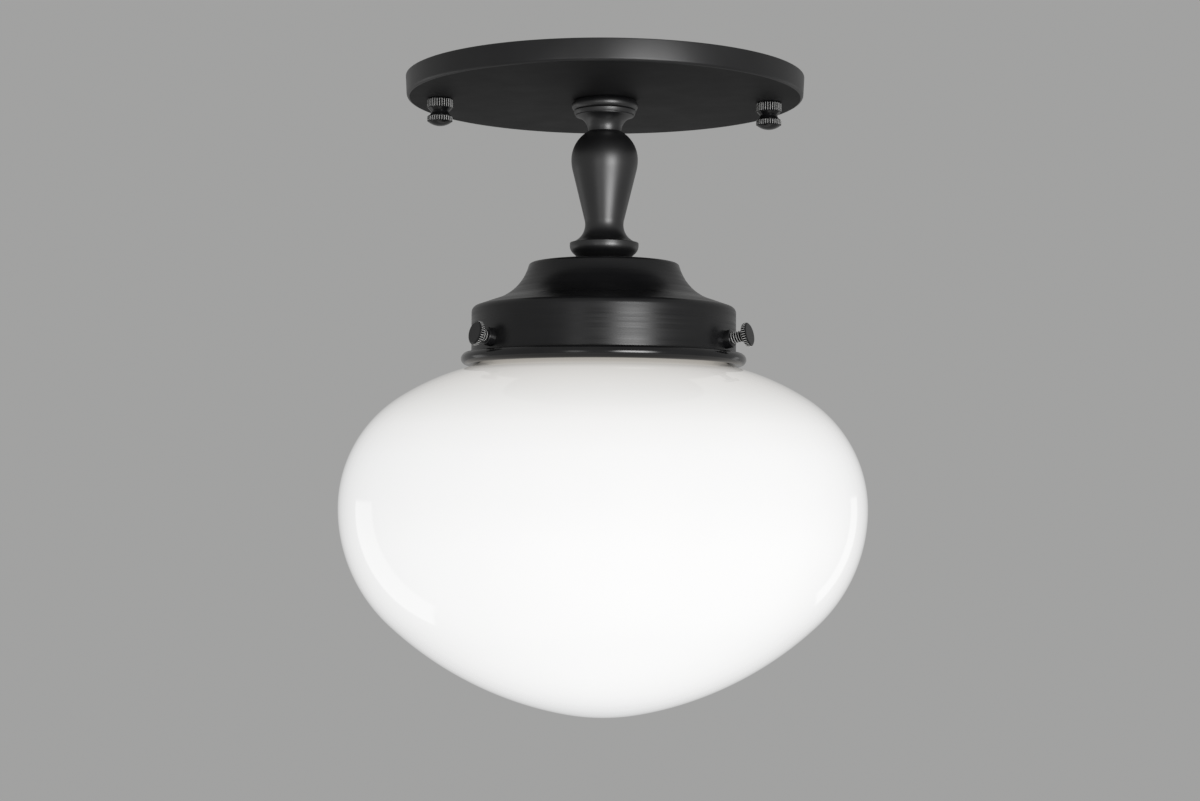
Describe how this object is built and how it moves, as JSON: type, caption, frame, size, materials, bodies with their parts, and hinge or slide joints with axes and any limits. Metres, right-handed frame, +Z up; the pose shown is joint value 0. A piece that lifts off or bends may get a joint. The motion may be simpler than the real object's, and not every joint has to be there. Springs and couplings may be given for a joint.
{
  "type": "semi-flush ceiling light",
  "caption": "Semi-flush ceiling light: round canopy pan, turned neck, spun shade holder with thumb screws, screw-base lamp and a closed onion-shaped opal glass shade.",
  "frame": {"origin": "centre of the crossbar's top face, level with the canopy's rim, on the ceiling plane", "axes": "+Z up into the ceiling along the light's axis, +X along the crossbar to the right canopy nut, +Y away from the viewer"},
  "size_m": [0.165, 0.165, 0.2003],
  "materials": {
    "satin_black": "satin powder coat",
    "gloss_black": "gloss lacquer",
    "zinc_steel": "zinc plated",
    "brass": "plain",
    "green_paint": "gloss",
    "cap_metal": "satin",
    "porcelain": "glazed",
    "opal_glass": "glossy opal, lit",
    "bulb_glass": "frosted",
    "bulb_plastic": "matte",
    "bulb_metal": "plain",
    "bulb_black": "gloss",
    "solder": "plain"
  },
  "bodies": {
    "fixture": {"canopy": "satin_black", "neck": "satin_black", "shade_holder": "satin_black", "screw_boss_1": "gloss_black", "screw_boss_2": "gloss_black", "screw_boss_3": "gloss_black", "crossbar": "zinc_steel", "canopy_stud_left": "zinc_steel", "canopy_stud_right": "zinc_steel", "canopy_washer": "zinc_steel", "canopy_locknut": "zinc_steel", "holder_washer": "zinc_steel", "holder_locknut": "zinc_steel", "terminal_screw_neutral": "zinc_steel", "upper_nipple": "brass", "lower_nipple": "brass", "screw_shell": "brass", "centre_contact": "brass", "terminal_screw_live": "brass", "ground_screw": "green_paint", "socket_cap": "cap_metal", "socket_body": "porcelain", "glass_shade": "opal_glass"},
    "canopy_nut_left": {"canopy_nut_left": "gloss_black"},
    "canopy_nut_right": {"canopy_nut_right": "gloss_black"},
    "thumb_screw_1": {"thumb_screw_1": "gloss_black"},
    "thumb_screw_2": {"thumb_screw_2": "gloss_black"},
    "thumb_screw_3": {"thumb_screw_3": "gloss_black"},
    "bulb": {"bulb_globe": "bulb_glass", "bulb_housing": "bulb_plastic", "bulb_base": "bulb_metal", "bulb_insulator": "bulb_black", "bulb_contact": "solder"}
  },
  "joints": [
    {"name": "thumb_screw_1_travel", "type": "slide", "parent": "fixture", "child": "thumb_screw_1", "axis": [-0.0403, 0.9808, 0.1908], "range_m": [0, 0.005]},
    {"name": "thumb_screw_2_travel", "type": "slide", "parent": "fixture", "child": "thumb_screw_2", "axis": [-0.8293, -0.5253, 0.1908], "range_m": [0, 0.005]},
    {"name": "thumb_screw_3_travel", "type": "slide", "parent": "fixture", "child": "thumb_screw_3", "axis": [0.8695, -0.4555, 0.1908], "range_m": [-0.00195, 0.00305]},
    {"name": "canopy_nut_left_travel", "type": "slide", "parent": "fixture", "child": "canopy_nut_left", "axis": [0, 0, -1], "range_m": [0, 0.008]},
    {"name": "canopy_nut_right_travel", "type": "slide", "parent": "fixture", "child": "canopy_nut_right", "axis": [0, 0, -1], "range_m": [0, 0.008]},
    {"name": "bulb_turn", "type": "hinge", "parent": "fixture", "child": "bulb", "pos_m": [0, 0, -0.14], "axis": [0, 0, -1], "range_deg": [0, 1080]}
  ]
}
